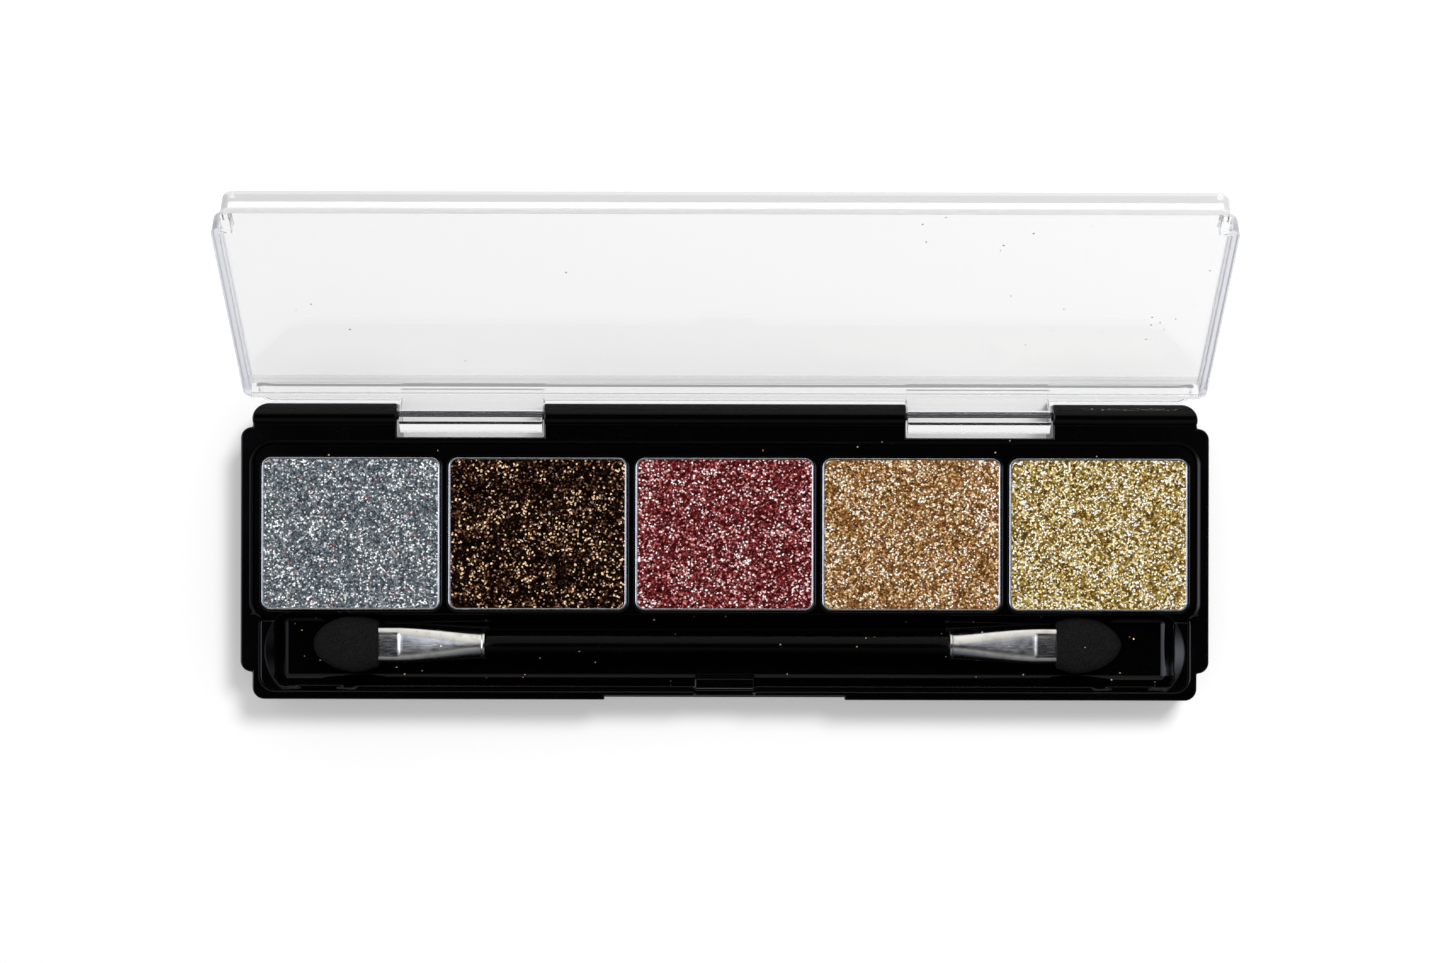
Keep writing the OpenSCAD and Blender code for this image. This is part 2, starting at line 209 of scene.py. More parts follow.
def foam():
    """Dull black foam with fine pores, painted darker in the pores as shade, over a random grain of tone."""
    made = material("black_foam", Roughness=1.0, IOR=1.4, Specular_IOR_Level=0.2)
    pores = node(made, "ShaderNodeTexVoronoi", {"Vector": place(made), "Scale": PORE_SCALE})
    walls = remap(made, pores.outputs["Distance"], (0.1, 0.6))
    height = calc(made, "MULTIPLY", walls, noise(made, PORE_GRAIN_SCALE, 2.0))
    # Painted shade: the pores are coloured darker, as the shade in them; the same height drives the bump.
    feed(made, "Base Color", ramp(made, height, FOAM_PORE_SHADE_COLOURS))
    bump(made, height, PORE_DEPTH)
    return made


def mottled(name, roughness, scale, dark, pale):
    """A plain matt material that wavers between two near colours."""
    made = material(name, Roughness=roughness)
    feed(made, "Base Color", ramp(made, noise(made, scale), ((0.3, dark), (0.7, pale))))
    return made


# ---------------------------------------------------------------- clear plastic

# Where the lid's clearness changes: past the hinge axis, short of the front edge and short of the sides.
FOOT_FADE = (2.2 * MM, 2.6 * MM)
PANEL_FADE = (3.0 * MM, 3.5 * MM)
FRONT_FADE = (-1.3 * MM, -1.1 * MM)
SIDE_FADE = (-1.15 * MM, -1.0 * MM)
FOOT_CLEARNESS = 0.64
PANEL_CLEARNESS = 0.965
FRONT_CLEARNESS = 0.4
SIDE_CLEARNESS = 0.66
FACING_TINT = (0.973, 0.972, 0.974)
GRAZING_TINT = (0.85, 0.875, 0.99)
SIDE_TINT = (0.92, 0.93, 0.985)
GLARE_TINT = (0.25, 0.25, 0.25, 1.0)
WIPE_SCALE = 90.0
WIPED_ROUGHNESS = 0.02


def clear_plastic():
    """Clear moulded polystyrene, clearest at the hinge, with milky and faintly blue-violet walls."""
    made = material("clear_plastic", IOR=1.5, Specular_Tint=GLARE_TINT)
    feed(made, "Roughness", remap(made, noise(made, WIPE_SCALE, 5.0), (0.4, 0.8), (0.0, WIPED_ROUGHNESS)))
    far_edge = max(nodes["lid"].data.vertices, key=lambda v: (v.co - hinge_axis).yz.length).co
    up_the_lid = Vector((0, math.cos(math.pi - lid_open), math.sin(math.pi - lid_open)))
    at_axis = hinge_axis.dot(up_the_lid)
    at_front = far_edge.dot(up_the_lid)
    at_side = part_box("lid")[1].x
    along = node(made, "ShaderNodeVectorMath", {0: place(made), 1: up_the_lid}, operation="DOT_PRODUCT")
    reach = along.outputs["Value"]
    across = calc(made, "ABSOLUTE", node(made, "ShaderNodeSeparateXYZ", {0: place(made)}).outputs["X"])
    foot = remap(made, reach, shifted(FOOT_FADE, at_axis), (1.0, FOOT_CLEARNESS))
    panel = remap(made, reach, shifted(PANEL_FADE, at_axis), (0.0, PANEL_CLEARNESS))
    front = remap(made, reach, shifted(FRONT_FADE, at_front), (1.0, FRONT_CLEARNESS))
    side = remap(made, across, shifted(SIDE_FADE, at_side))
    clearness = calc(made, "MULTIPLY", calc(made, "MAXIMUM", foot, panel), front)
    at_sides = remap(made, side, (0.0, 1.0), (1.0, SIDE_CLEARNESS))
    feed(made, "Transmission Weight", calc(made, "MULTIPLY", clearness, at_sides))
    grazing = node(made, "ShaderNodeLayerWeight", {"Blend": 0.5}).outputs["Facing"]
    tint = mix(made, remap(made, grazing, (0.5, 0.95)), FACING_TINT, GRAZING_TINT)
    feed(made, "Base Color", mix(made, side, tint, SIDE_TINT))
    return made


# ---------------------------------------------------------------- glitter

FLAKES_PER_METRE = 4700.0
PAINTED_SHADE_TO_GLINT_STOPS = (0.06, 0.22, 0.41, 0.6, 0.78, 0.905, 0.965)
CLUMP_SCALE = 330.0
CLUMP_SWING = 0.09
ODD_STRENGTH = 0.8
GAP_WIDTH = 0.1
PAINTED_GAP_SHADE_TO_FLAKE_LEVEL = (0.25, 1.15)
FLAKE_ROUGHNESS = (0.25, 0.5)
FLAKE_TILT = 0.6

# Each shade has its flakes' colours from dark to bright, the colour of its odd flakes, and their share.
# The darkest flake colours are painted shade and the brightest, near white, are painted glints.
GLITTER_TONES_WITH_PAINTED_SHADE_AND_GLINTS = {
    "silver": (((0.038, 0.049, 0.059), (0.074, 0.092, 0.108), (0.11, 0.134, 0.152), (0.165, 0.192, 0.216),
                (0.28, 0.31, 0.335), (0.8, 0.83, 0.86), (1.0, 1.0, 1.0)), (0.4, 0.12, 0.1), 0.012),
    "brown": (((0.001, 0.0005, 0.0004), (0.002, 0.001, 0.0007), (0.005, 0.0022, 0.0014),
               (0.009, 0.004, 0.0024), (0.026, 0.011, 0.0065), (0.21, 0.088, 0.045), (1.0, 0.7, 0.43)),
              (0.3, 0.2, 0.2), 0.02),
    "rose": (((0.028, 0.003, 0.003), (0.056, 0.007, 0.008), (0.095, 0.008, 0.009), (0.165, 0.019, 0.021),
              (0.35, 0.07, 0.078), (0.9, 0.46, 0.48), (1.0, 0.95, 0.94)), (0.5, 0.1, 0.06), 0.03),
    "bronze": (((0.085, 0.03, 0.008), (0.15, 0.06, 0.018), (0.24, 0.102, 0.028), (0.375, 0.186, 0.06),
                (0.74, 0.48, 0.22), (1.0, 0.92, 0.68), (1.0, 1.0, 0.96)), (0.5, 0.2, 0.1), 0.03),
    "gold": (((0.08, 0.04, 0.007), (0.17, 0.096, 0.02), (0.295, 0.18, 0.032), (0.505, 0.355, 0.09),
              (1.0, 0.87, 0.45), (1.0, 1.0, 0.95), (1.0, 1.0, 1.0)), (0.5, 0.3, 0.06), 0.03),
}


def glitter(name, colours_shaded_to_glinting, odd, odd_share):
    """Pressed glitter: every flake has its own tone, tilt and shine; glints, shade and dark gaps between
    flakes are painted.
    """
    made = material(name, IOR=1.5, Metallic=0.12, Specular_IOR_Level=0.0)
    at = place(made)
    pattern = {"Vector": at, "Scale": FLAKES_PER_METRE, "Randomness": 1.0}
    cells = node(made, "ShaderNodeTexVoronoi", pattern).outputs["Color"]
    gap = node(made, "ShaderNodeTexVoronoi", pattern, feature="DISTANCE_TO_EDGE").outputs["Distance"]
    parts = node(made, "ShaderNodeSeparateColor", {"Color": cells}).outputs
    clumps = remap(made, noise(made, CLUMP_SCALE, 3.0, at), (0.3, 0.7), (-CLUMP_SWING, CLUMP_SWING))
    pick = node(made, "ShaderNodeMath", {0: parts["Red"], 1: clumps}, operation="ADD", use_clamp=True)
    # Each flake's colour, from painted shade through its own tone to a painted glint.
    shade = ramp(made, pick.outputs[0], list(zip(PAINTED_SHADE_TO_GLINT_STOPS, colours_shaded_to_glinting)))
    is_odd = remap(made, parts["Green"], (1.0 - odd_share, 1.001 - odd_share), (0.0, ODD_STRENGTH))
    # Painted shade in the gaps between the flakes, darkest at their edges; the flakes themselves are made a
    # little brighter.
    painted_gap_shade = remap(made, gap, (0.0, GAP_WIDTH), PAINTED_GAP_SHADE_TO_FLAKE_LEVEL)
    feed(made, "Base Color", mix(made, 1.0, mix(made, is_odd, shade, odd), painted_gap_shade, "MULTIPLY"))
    feed(made, "Roughness", remap(made, parts["Blue"], (0.0, 1.0), FLAKE_ROUGHNESS))
    centred = node(made, "ShaderNodeVectorMath", {0: cells, 1: (0.5, 0.5, 0.5)}, operation="SUBTRACT")
    tilt = node(made, "ShaderNodeVectorMath", {0: centred.outputs[0], "Scale": FLAKE_TILT},
                operation="SCALE")
    normal = node(made, "ShaderNodeNewGeometry").outputs["Normal"]
    turned = node(made, "ShaderNodeVectorMath", {0: normal, 1: tilt.outputs[0]}, operation="ADD")
    unit = node(made, "ShaderNodeVectorMath", {0: turned.outputs[0]}, operation="NORMALIZE")
    feed(made, "Normal", unit.outputs[0])
    return made


LOOSE_GRAIN_SCALE = 5000.0


def loose_glitter():
    """The material of the loose flakes, each of which carries a colour with its light painted in."""
    made = material("loose_flake", Metallic=0.7, IOR=1.5)
    painted_light_colour = node(made, "ShaderNodeAttribute", attribute_name="flake_colour_with_painted_light")
    feed(made, "Base Color", painted_light_colour.outputs["Color"])
    feed(made, "Roughness", remap(made, noise(made, LOOSE_GRAIN_SCALE), (0.3, 0.7), (0.2, 0.45)))
    return made


glitters = {name: glitter("glitter_" + name, *GLITTER_TONES_WITH_PAINTED_SHADE_AND_GLINTS[name]) for name in shades}
tray_black = black_plastic("tray_black", 0.07, 0.2)
handle_black = black_plastic("handle_black", 0.09, 0.12)
pan_metal = bare_metal("pan_metal", (0.66, 0.67, 0.69), 0.14, 0.002 * MM)
ferrule_metal = bare_metal("ferrule_metal", (0.9, 0.89, 0.87), 0.12, 0.0006 * MM)
pin_steel = bare_metal("pin_steel", (0.07, 0.07, 0.08), 0.3, 0.003 * MM)
sponge_foam = foam()
lid_clear = clear_plastic()
adhesive = mottled("adhesive", 0.5, 800.0, (0.62, 0.6, 0.52), (0.74, 0.72, 0.64))
stem_white = mottled("stem_white", 0.45, 1500.0, (0.62, 0.62, 0.6), (0.72, 0.72, 0.7))
loose_flake = loose_glitter()


# ---------------------------------------------------------------- meshes

CREASE_DEG = 32.0
ROUNDING_STEP_DEG = 5
FLAT_TO_ROUNDING_AREA = 12


def finished(name, bm, made, body, replaced=(), crease_deg=CREASE_DEG):
    """Turns a bmesh into a piece that rides on a body and is smooth where its faces meet gently."""
    mesh = bpy.data.meshes.new(name)
    bmesh.ops.recalc_face_normals(bm, faces=bm.faces)
    bm.to_mesh(mesh)
    bm.free()
    mesh.materials.append(made)
    mesh.shade_smooth()
    mesh.set_sharp_from_angle(angle=math.radians(crease_deg))
    piece = bpy.data.objects.new(name, mesh)
    scene.collection.objects.link(piece)
    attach(piece, body)
    if replaced:
        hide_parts(*replaced)
    return piece


def dress(names, made):
    """Gives CAD nodes that show as they are their material."""
    for name in names:
        nodes[name].data.materials.clear()
        nodes[name].data.materials.append(made)


def split_flats(mesh):
    """Marks the edges between large flats and narrow roundings, so that the flats shade as truly flat."""
    bm = bmesh.new()
    bm.from_mesh(mesh)
    area = {face: face.calc_area() for face in bm.faces}
    for edge in bm.edges:
        if len(edge.link_faces) == 2 and edge.calc_face_angle(0) > math.radians(ROUNDING_STEP_DEG):
            small, large = sorted(area[face] for face in edge.link_faces)
            if large > FLAT_TO_ROUNDING_AREA * small:
                edge.smooth = False
    bm.to_mesh(mesh)
    bm.free()


# How far the corners of a face may be moved to take out a crossing of its edges.
SMALL_LOOP = 1.0 * MM
LARGEST_OVERRUN = 0.3 * MM
SHORTEST_EDGE = 0.01 * MM
CROSSING_CLEARANCE = 0.004 * MM
LARGEST_SHARE = 0.9
UNTANGLE_ROUNDS = 5
FEWEST_CORNERS = 5
MESH_WELD = 0.001 * MM


def draw_back(corners, flat, i, j):
    """Takes out the crossing of edges i and j of a face, if there is one, and says whether it did.

    The corners are also given flat, in the plane of the face. A small loop between the two edges is welded
    into the crossing. Otherwise the end that overruns the crossing the least is drawn back along its edge.
    """
    count = len(corners)
    first = (i, (i + 1) % count)
    second = (j, (j + 1) % count)
    hit = intersect_line_line_2d(flat[first[0]], flat[first[1]], flat[second[0]], flat[second[1]])
    if hit is None:
        return False
    along_first = (hit - flat[i]).length / (flat[first[1]] - flat[i]).length
    crossing = corners[i].co.lerp(corners[first[1]].co, along_first)
    for span in (range(i + 1, j + 1), range(j + 1, i + 1 + count)):
        loop = [k % count for k in span]
        around = sum((flat[a] - flat[b]).length for a, b in zip(loop, loop[1:]))
        if around < SMALL_LOOP:
            for k in loop:
                corners[k].co = crossing
                flat[k] = hit
            return True
    ends = (first, first[::-1], second, second[::-1])
    near, far = min(ends, key=lambda pair: (flat[pair[0]] - hit).length)
    overrun = (flat[near] - hit).length
    length = (flat[near] - flat[far]).length
    if overrun > LARGEST_OVERRUN or length < SHORTEST_EDGE:
        return False
    share = min((overrun + CROSSING_CLEARANCE) / length, LARGEST_SHARE)
    corners[near].co = corners[near].co.lerp(corners[far].co, share)
    flat[near] = flat[near].lerp(flat[far], share)
    return True


def untangle(bm):
    """Takes out the places where a rounding has pushed the corners of a face across its own edges."""
    for _ in range(UNTANGLE_ROUNDS):
        moved = 0
        for face in bm.faces:
            corners = list(face.verts)
            count = len(corners)
            if count < FEWEST_CORNERS:
                continue
            across = face.normal.orthogonal().normalized()
            along = face.normal.cross(across)
            flat = [Vector((v.co.dot(across), v.co.dot(along))) for v in corners]
            for i in range(count):
                for j in range(i + 2, count if i else count - 1):
                    length_i = (flat[i] - flat[(i + 1) % count]).length
                    length_j = (flat[j] - flat[(j + 1) % count]).length
                    if length_i > 0 and length_j > 0:
                        moved += draw_back(corners, flat, i, j)
        bmesh.ops.remove_doubles(bm, verts=bm.verts, dist=MESH_WELD)
        if not moved:
            break


SHARP_DEG = 25.0
CAD_WELD = 0.002 * MM
COPLANAR_DEG = 0.6
BOX_MARGIN = 0.02 * MM
STRAY_SHARE = 0.8
WIDE_SEGMENTS = 6
NARROW_SEGMENTS = 3


def edge_in(edge, box):
    """Whether both ends of an edge lie in a box, or within a small margin of it."""
    low, high = box
    return all(low[i] - BOX_MARGIN < v.co[i] < high[i] + BOX_MARGIN for v in edge.verts for i in range(3))


def sharp_edges(bm):
    return [e for e in bm.edges if e.is_manifold and e.calc_face_angle(0) > math.radians(SHARP_DEG)]


def rounded_copy(name, source, width_mm, made, body, strips=0, wide_mm=0.0, wide_box=None,
                 kept_sharp=()):
    """The CAD solid with its sharp edges rounded over.

    Edges in wide_box are first rounded by wide_mm, and edges in a box of kept_sharp aren't rounded. Where
    strips are asked for, the faces are cut across x into that many.
    """
    bm = bmesh.new()
    bm.from_mesh(nodes[source].data)
    bmesh.ops.remove_doubles(bm, verts=bm.verts, dist=CAD_WELD)
    bmesh.ops.dissolve_limit(bm, angle_limit=math.radians(COPLANAR_DEG), use_dissolve_boundaries=False,
                             verts=bm.verts, edges=bm.edges)
    if wide_box:
        wide = [e for e in sharp_edges(bm) if edge_in(e, wide_box)]
        bmesh.ops.bevel(bm, geom=wide, offset=wide_mm * MM, segments=WIDE_SEGMENTS, profile=0.5,
                        affect="EDGES")
    surface = BVHTree.FromBMesh(bm)
    narrow = [e for e in sharp_edges(bm) if not any(edge_in(e, box) for box in kept_sharp)]
    bmesh.ops.bevel(bm, geom=narrow, offset=width_mm * MM, segments=NARROW_SEGMENTS, profile=0.5,
                    affect="EDGES", clamp_overlap=False)
    for vertex in bm.verts:
        on_solid, _, _, away = surface.find_nearest(vertex.co)
        if away > STRAY_SHARE * width_mm * MM:
            vertex.co = on_solid
    bmesh.ops.remove_doubles(bm, verts=bm.verts, dist=MESH_WELD)
    bm.normal_update()
    untangle(bm)
    left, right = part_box(source)
    for i in range(1, strips):
        cut = (left.x + (right.x - left.x) * i / strips, 0, 0)
        bmesh.ops.bisect_plane(bm, geom=[*bm.verts, *bm.edges, *bm.faces], plane_co=cut, plane_no=(1, 0, 0))
    piece = finished(name, bm, made, body, (source,))
    split_flats(piece.data)
    flats = piece.modifiers.new("flat_faces", "WEIGHTED_NORMAL")
    flats.mode = "FACE_AREA"
    flats.weight = 100
    flats.keep_sharp = True
    return piece


def ring_solid(rings):
    """A closed bmesh through rings of equal length, capped at both ends."""
    bm = bmesh.new()
    loops = [[bm.verts.new(point) for point in ring] for ring in rings]
    for first, second in zip(loops, loops[1:]):
        count = len(first)
        for i in range(count):
            j = (i + 1) % count
            bm.faces.new((first[i], first[j], second[j], second[i]))
    bm.faces.new(loops[0])
    bm.faces.new(list(reversed(loops[-1])))
    return bm


def superellipse(centre, half_y, half_z, power, count):
    """Points round a centre in the y-z plane: an ellipse at power 2, squarer above it."""
    points = []
    for i in range(count):
        angle = 2 * math.pi * i / count
        c, s = math.cos(angle), math.sin(angle)
        y = math.copysign(abs(c) ** (2 / power), c) * half_y
        z = math.copysign(abs(s) ** (2 / power), s) * half_z
        points.append(centre + Vector((0, y, z)))
    return points


def smoothstep(t):
    t = min(max(t, 0.0), 1.0)
    return t * t * (3 - 2 * t)


# ---------------------------------------------------------------- tray

SHELL_ROUND_MM = 0.18
RECESS_ROUND_MM = 0.5
INSERT_ROUND_MM = 0.15
PAN_ROUND_MM = 0.07

# The recess in the tray shell's land, the ledge under it, and the thin wedge tips at its front corners.
RECESS_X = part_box("pan_insert")[1].x + 0.05 * MM
RECESS_FRONT_Y = -7.8 * MM
RECESS_REAR_Y = 13.4 * MM
LAND_Z = 7.5 * MM
LEDGE_Z = 6.0 * MM
LEDGE_TOP_Z = 6.05 * MM
WEDGE_IN_X = 56.5 * MM
WEDGE_OUT_X = 58.1 * MM
WEDGE_FRONT_Y = -8.6 * MM
WEDGE_REAR_Y = -8.15 * MM

recess_edge = ((-RECESS_X, RECESS_FRONT_Y, LAND_Z), (RECESS_X, RECESS_REAR_Y, LAND_Z))
left_wedge = ((-WEDGE_OUT_X, WEDGE_FRONT_Y, LAND_Z), (-WEDGE_IN_X, WEDGE_REAR_Y, LAND_Z))
right_wedge = ((WEDGE_IN_X, WEDGE_FRONT_Y, LAND_Z), (WEDGE_OUT_X, WEDGE_REAR_Y, LAND_Z))
hidden_ledge = ((-RECESS_X, WEDGE_FRONT_Y, LEDGE_Z), (RECESS_X, RECESS_REAR_Y, LEDGE_TOP_Z))
tray = rounded_copy("tray_shell", "base_shell", SHELL_ROUND_MM, tray_black, "base",
                    wide_mm=RECESS_ROUND_MM, wide_box=recess_edge,
                    kept_sharp=(left_wedge, right_wedge, hidden_ledge))
insert = rounded_copy("tray_insert", "pan_insert", INSERT_ROUND_MM, tray_black, "base")
for shade in shades:
    rounded_copy("pan_rim_" + shade, "pan_" + shade, PAN_ROUND_MM, pan_metal, "base")
dress(("hinge_pin_left", "hinge_pin_right"), pin_steel)
dress(("pan_adhesive",), adhesive)


# ---------------------------------------------------------------- pressed glitter

CAKE_CORNER = 0.89 * MM
CAKE_DOME = 0.06 * MM
CAKE_FACET_DEG = 4.0
FLAKE_STEP = 0.27 * MM
FLAKE_JITTER = 0.36
FLAKE_LIFT = 0.05 * MM
EDGE_LIFT_SHARE = 0.4
FIRST_CAKE_SEED = 11


def round_corner(x, y, half_x, half_y):
    """Draws a point of a rectangle in so that the rectangle's corners become round."""
    over_x = abs(x) - (half_x - CAKE_CORNER)
    over_y = abs(y) - (half_y - CAKE_CORNER)
    if over_x <= 0 or over_y <= 0:
        return x, y
    shrink = max(over_x, over_y) / math.hypot(over_x, over_y)
    return (math.copysign(half_x - CAKE_CORNER + over_x * shrink, x),
            math.copysign(half_y - CAKE_CORNER + over_y * shrink, y))


def glitter_cake(shade, seed):
    """A cake of pressed flakes: a closed block whose top is a rough field of small tilted facets."""
    low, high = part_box("shadow_" + shade)
    centre = (low + high) / 2
    half_x, half_y = (high.x - low.x) / 2, (high.y - low.y) / 2
    across, along = round(2 * half_x / FLAKE_STEP), round(2 * half_y / FLAKE_STEP)
    rng = np.random.default_rng(seed)
    jitter = rng.uniform(-FLAKE_JITTER, FLAKE_JITTER, (across + 1, along + 1, 2)) * FLAKE_STEP
    lift = rng.uniform(-1.0, 1.0, (across + 1, along + 1)) * FLAKE_LIFT
    flip = rng.random((across, along)) < 0.5
    bm = bmesh.new()
    top = []
    for i in range(across + 1):
        column = []
        for j in range(along + 1):
            edge_i, edge_j = i in (0, across), j in (0, along)
            x = (i / across * 2 - 1) * half_x + (0 if edge_i else jitter[i, j, 0])
            y = (j / along * 2 - 1) * half_y + (0 if edge_j else jitter[i, j, 1])
            x, y = round_corner(x, y, half_x, half_y)
            dome = CAKE_DOME * (1 - (x / half_x) ** 4) * (1 - (y / half_y) ** 4)
            z = high.z + dome + lift[i, j] * (EDGE_LIFT_SHARE if edge_i or edge_j else 1.0)
            column.append(bm.verts.new((centre.x + x, centre.y + y, z)))
        top.append(column)
    for i in range(across):
        for j in range(along):
            a, b, c, d = top[i][j], top[i + 1][j], top[i + 1][j + 1], top[i][j + 1]
            for face in ((a, b, d), (b, c, d)) if flip[i, j] else ((a, b, c), (a, c, d)):
                bm.faces.new(face)
    border = ([top[i][0] for i in range(across)] + [top[across][j] for j in range(along)]
              + [top[i][along] for i in range(across, 0, -1)] + [top[0][j] for j in range(along, 0, -1)])
    underside = [bm.verts.new((v.co.x, v.co.y, low.z)) for v in border]
    count = len(border)
    for i in range(count):
        j = (i + 1) % count
        bm.faces.new((border[i], underside[i], underside[j], border[j]))
    bm.faces.new(underside)
    return finished("cake_" + shade, bm, glitters[shade], "base", ("shadow_" + shade,),
                    crease_deg=CAKE_FACET_DEG)


cakes = {shade: glitter_cake(shade, FIRST_CAKE_SEED + i) for i, shade in enumerate(shades)}


# ---------------------------------------------------------------- lid

LID_ROUND_MM = 0.16
LID_STRIPS = 12

lid = rounded_copy("lid_clear", "lid", LID_ROUND_MM, lid_clear, "lid", strips=LID_STRIPS)
lid.visible_shadow = False
lid.visible_diffuse = False


# ---------------------------------------------------------------- applicator

ROUND_POWER = 2.0
HANDLE_SIDES = 64
HANDLE_WAIST = 0.02
SHOULDER_ROUND = 0.25 * MM
SPIGOT_TO_HANDLE = 0.78
SPIGOT_END = 0.8
SPIGOT_CHAMFER = 0.3 * MM


def handle():
    """The round handle, slightly waisted, with softened shoulders and a spigot at each end."""
    low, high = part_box("applicator_handle")
    ferrule_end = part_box("ferrule_left")[1].x
    other_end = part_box("ferrule_right")[0].x
    centre = (low + high) / 2
    radius = (high.z - low.z) / 2
    spigot = radius * SPIGOT_TO_HANDLE
    shoulder = [(ferrule_end + SHOULDER_ROUND * (1 - math.cos(a)),
                 radius - SHOULDER_ROUND * (1 - math.sin(a))) for a in np.linspace(0, math.pi / 2, 5)]
    grip = [(ferrule_end + (other_end - ferrule_end) * t,
             radius * (1 - HANDLE_WAIST * math.sin(math.pi * t))) for t in np.linspace(0.04, 0.96, 23)]
    stations = [(low.x, spigot * SPIGOT_END), (low.x + SPIGOT_CHAMFER, spigot), (ferrule_end, spigot)]
    stations += shoulder + grip
    stations += [(ferrule_end + other_end - x, r) for x, r in reversed(shoulder)]
    stations += [(other_end, spigot), (high.x - SPIGOT_CHAMFER, spigot), (high.x, spigot * SPIGOT_END)]
    rings = [superellipse(Vector((x, centre.y, centre.z)), r, r, ROUND_POWER, HANDLE_SIDES)
             for x, r in stations]
    return finished("handle", ring_solid(rings), handle_black, "applicator",
                    ("applicator_handle",))


FERRULE_SIDES = 72
BEAD_OUT = 0.1 * MM
BEAD_LENGTH = 0.42 * MM
# The bead at the handle's end, as (distance from that end, how far it stands out).
BEAD = ((0.0, -0.12 * MM), (0.0, 0.02 * MM), (0.05 * MM, BEAD_OUT), (0.3 * MM, BEAD_OUT),
        (BEAD_LENGTH, 0.0))
MOUTH_HALF_Z = 1.3 * MM
CRIMP_LENGTH = 2.8 * MM
CRIMP_POWER = 3.6
LIP_POWER = 3.4
# The lip at the mouth, as (distance from the mouth, how far it is drawn in). It takes no mark.
LIP = ((0.0, 0.16 * MM), (0.5 * MM, 0.24 * MM))
LIP_MARGIN = 0.1 * MM
TAPER_SOFTNESS = 0.35
MARK_DEPTH = 0.045 * MM
MARK_END_SLOPE = 0.35 * MM
MARK_SIDE_SLOPE = 0.3 * MM
MARK_TO_MOUTH = 0.66


def ferrule(side):
    """A metal sleeve: round with a bead at the handle, flat at its mouth, with a press mark on each face."""
    source = "ferrule_" + side
    low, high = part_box(source)
    facing = -1.0 if side == "left" else 1.0
    joint_x = high.x if side == "left" else low.x
    length = high.x - low.x
    centre_y, centre_z = (low.y + high.y) / 2, (low.z + high.z) / 2
    mouth_y = (high.y - low.y) / 2
    round_r = (high.z - low.z) / 2 - BEAD_OUT
    crimp_x = length - CRIMP_LENGTH
    rings = [(x, round_r + out, round_r + out, ROUND_POWER) for x, out in BEAD]
    for t in np.linspace(0.06, 1.0, 26):
        ease = smoothstep(t) * TAPER_SOFTNESS + t * (1.0 - TAPER_SOFTNESS)
        rings.append((BEAD_LENGTH + (crimp_x - BEAD_LENGTH) * t, round_r + (mouth_y - round_r) * ease,
                      round_r + (MOUTH_HALF_Z - round_r) * ease,
                      ROUND_POWER + (CRIMP_POWER - ROUND_POWER) * smoothstep(t)))
    for t in np.linspace(0.04, 1.0, 14):
        rings.append((crimp_x + CRIMP_LENGTH * t, mouth_y, MOUTH_HALF_Z, CRIMP_POWER))
    rings += [(length - x, mouth_y - drawn_in, MOUTH_HALF_Z - drawn_in, LIP_POWER) for x, drawn_in in LIP]
    loops = []
    for x, half_y, half_z, power in rings:
        centre = Vector((joint_x + facing * x, centre_y, centre_z))
        loop = superellipse(centre, half_y, half_z, power, FERRULE_SIDES)
        not_lip = half_y > mouth_y - LIP_MARGIN
        pressed = smoothstep((x - crimp_x) / MARK_END_SLOPE) * not_lip
        for point in loop:
            from_side = mouth_y * MARK_TO_MOUTH - abs(point.y - centre_y)
            depth = MARK_DEPTH * pressed * smoothstep(from_side / MARK_SIDE_SLOPE)
            point.z -= math.copysign(depth, point.z - centre_z)
        loops.append(loop)
    return finished("sleeve_" + side, ring_solid(loops), ferrule_metal, "applicator",
                    (source,))


SPONGE_SIDES = 72
SPONGE_POWER = 2.5
# Along the sponge, from its back at 0 to its tip at 1, and across it, as shares of its half width.
BACK_END = 0.09
BACK_WIDTH = 0.70
SHOULDER_WIDTH = 0.87
WIDEST = 0.31
TIP_END = (0.9992, 0.05)
THINNEST = 0.42
THICKNESS_POWER = 1.2
TIP_FULLNESS = 2.2
SKIN_SWELL = 0.02 * MM
SKIN_WAVES = (2, 3, 5)
SKIN_TWIST = 7
SPONGE_CREASE_DEG = 60.0


